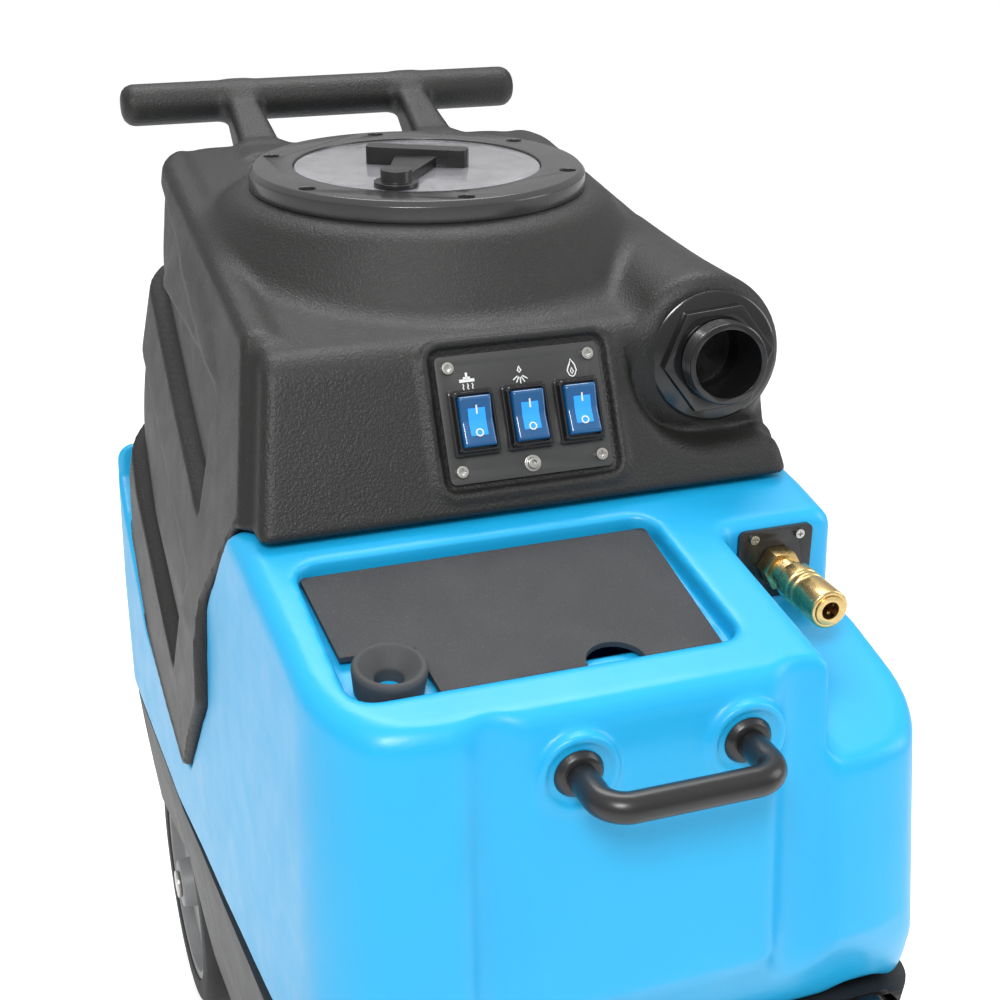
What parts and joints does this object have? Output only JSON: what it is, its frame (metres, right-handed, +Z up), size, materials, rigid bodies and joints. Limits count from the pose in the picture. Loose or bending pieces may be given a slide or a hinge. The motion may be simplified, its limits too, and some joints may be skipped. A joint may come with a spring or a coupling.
{
  "type": "portable carpet cleaner",
  "caption": "Wheeled carpet extractor: black recovery tank with clear lid and carrying bar on a blue solution tank, with hose inlet, switch panel, quick coupler and drain.",
  "frame": {"origin": "on the floor, under the middle of the machine's bounding box", "axes": "+Z up, +Y to the rear (carrying bar), +X to the machine's left-hand side seen from behind, which is on the right when facing the switch panel"},
  "size_m": [0.4694, 0.8624, 0.927],
  "materials": {
    "tank_black": "grained rotomoulded plastic",
    "base_black": "grained rotomoulded plastic",
    "tank_blue": "soft sheen rotomoulded plastic",
    "ring_black": "satin moulded plastic",
    "lid_clear": "clear polycarbonate",
    "panel_black": "satin printed plate",
    "switch_blue": "translucent blue plastic",
    "hatch_grey": "sandy textured sheet",
    "inlet_black": "satin moulded plastic",
    "handle_black": "satin black coating",
    "zinc_steel": "zinc plated",
    "black_steel": "black oxide",
    "brass": "machined",
    "soft_rubber": "matt",
    "float_white": "polypropylene",
    "hub_grey": "moulded nylon",
    "tyre_black": "moulded rubber",
    "caster_rubber": "moulded",
    "floor_plate": "black paint",
    "motor_metal": "cast"
  },
  "bodies": {
    "machine": {"axle_brackets": "zinc_steel", "base_housing": "base_black", "base_plate": "floor_plate", "base_screws": "zinc_steel", "caster_plates": "zinc_steel", "coupler_balls": "zinc_steel", "coupler_body": "brass", "coupler_plate": "panel_black", "coupler_plate_screws": "zinc_steel", "drain_stub": "ring_black", "float_cage": "ring_black", "front_handle": "handle_black", "handle_bolts": "zinc_steel", "handle_flanges": "handle_black", "hatch_hinge_rod": "zinc_steel", "heater": "motor_metal", "hose_inlet": "inlet_black", "hose_inlet_nut": "inlet_black", "inlet_elbow": "ring_black", "lid_gasket": "soft_rubber", "lid_ring": "ring_black", "lid_ring_screws": "black_steel", "panel_bolt": "zinc_steel", "power_inlet": "inlet_black", "pump": "motor_metal", "rear_axle": "zinc_steel", "recovery_tank": "tank_black", "rubber_cup": "soft_rubber", "solution_hose": "soft_rubber", "solution_tank": "tank_blue", "switch_bezels": "switch_blue", "switch_bodies": "panel_black", "switch_plate": "panel_black", "switch_plate_screws": "zinc_steel", "vacuum_fan_case": "motor_metal", "vacuum_motor": "motor_metal", "vacuum_standpipe": "ring_black", "wheel_retainers": "zinc_steel"},
    "lid": {"clear_lid": "lid_clear", "lid_handle": "ring_black"},
    "float": {"float_ball": "float_white"},
    "hatch": {"access_lid": "hatch_grey"},
    "sleeve": {"coupler_sleeve": "brass"},
    "drain_cap": {"drain_cap": "inlet_black"},
    "fan": {"vacuum_fan": "motor_metal"},
    "wheel_left": {"rear_hub_left": "hub_grey", "rear_tyre_left": "tyre_black"},
    "wheel_right": {"rear_hub_right": "hub_grey", "rear_tyre_right": "tyre_black"},
    "fork_left": {"caster_fork_left": "zinc_steel", "caster_axle_left": "zinc_steel"},
    "fork_right": {"caster_fork_right": "zinc_steel", "caster_axle_right": "zinc_steel"},
    "caster_left": {"caster_wheel_left": "caster_rubber"},
    "caster_right": {"caster_wheel_right": "caster_rubber"},
    "rocker_vacuum": {"rocker_vacuum": "switch_blue"},
    "rocker_pump": {"rocker_pump": "switch_blue"},
    "rocker_heater": {"rocker_heater": "switch_blue"}
  },
  "joints": [
    {"name": "lid_turn", "type": "hinge", "parent": "machine", "child": "lid", "pos_m": [0, 0.11, 0.9], "axis": [0, 0, 1], "range_deg": [0, 75]},
    {"name": "float_rise", "type": "slide", "parent": "machine", "child": "float", "axis": [0, 0, 1], "range_m": [0, 0.03]},
    {"name": "hatch_hinge", "type": "hinge", "parent": "machine", "child": "hatch", "pos_m": [-0.052, -0.18766, 0.70034], "axis": [-1, 0, 0], "range_deg": [0, 95]},
    {"name": "sleeve_pull", "type": "slide", "parent": "machine", "child": "sleeve", "axis": [0, 1, 0], "range_m": [0, 0.006], "stiffness_N_per_m": 1500, "springref_m": -0.004},
    {"name": "drain_cap_turn", "type": "hinge", "parent": "machine", "child": "drain_cap", "pos_m": [0.168, -0.385, 0.386], "axis": [0, -1, 0], "range_deg": [0, 300]},
    {"name": "fan_spin", "type": "hinge", "parent": "machine", "child": "fan", "pos_m": [0, 0.23, 0.2], "axis": [0, 0, 1], "continuous": true},
    {"name": "wheel_left_spin", "type": "hinge", "parent": "machine", "child": "wheel_left", "pos_m": [-0.188, 0.29, 0.127], "axis": [1, 0, 0], "continuous": true},
    {"name": "wheel_right_spin", "type": "hinge", "parent": "machine", "child": "wheel_right", "pos_m": [0.188, 0.29, 0.127], "axis": [1, 0, 0], "continuous": true},
    {"name": "caster_left_swivel", "type": "hinge", "parent": "machine", "child": "fork_left", "pos_m": [-0.14, -0.285, 0.12], "axis": [0, 0, 1], "continuous": true},
    {"name": "caster_left_spin", "type": "hinge", "parent": "fork_left", "child": "caster_left", "pos_m": [-0.14, -0.257, 0.05], "axis": [1, 0, 0], "continuous": true},
    {"name": "caster_right_swivel", "type": "hinge", "parent": "machine", "child": "fork_right", "pos_m": [0.14, -0.285, 0.12], "axis": [0, 0, 1], "continuous": true},
    {"name": "caster_right_spin", "type": "hinge", "parent": "fork_right", "child": "caster_right", "pos_m": [0.14, -0.257, 0.05], "axis": [1, 0, 0], "continuous": true},
    {"name": "rocker_vacuum_tip", "type": "hinge", "parent": "machine", "child": "rocker_vacuum", "pos_m": [-0.039, -0.14426, 0.78143], "axis": [1, 0, 0], "range_deg": [-7, 7]},
    {"name": "rocker_pump_tip", "type": "hinge", "parent": "machine", "child": "rocker_pump", "pos_m": [0, -0.14426, 0.78143], "axis": [1, 0, 0], "range_deg": [-7, 7]},
    {"name": "rocker_heater_tip", "type": "hinge", "parent": "machine", "child": "rocker_heater", "pos_m": [0.039, -0.14426, 0.78143], "axis": [1, 0, 0], "range_deg": [-7, 7]}
  ]
}
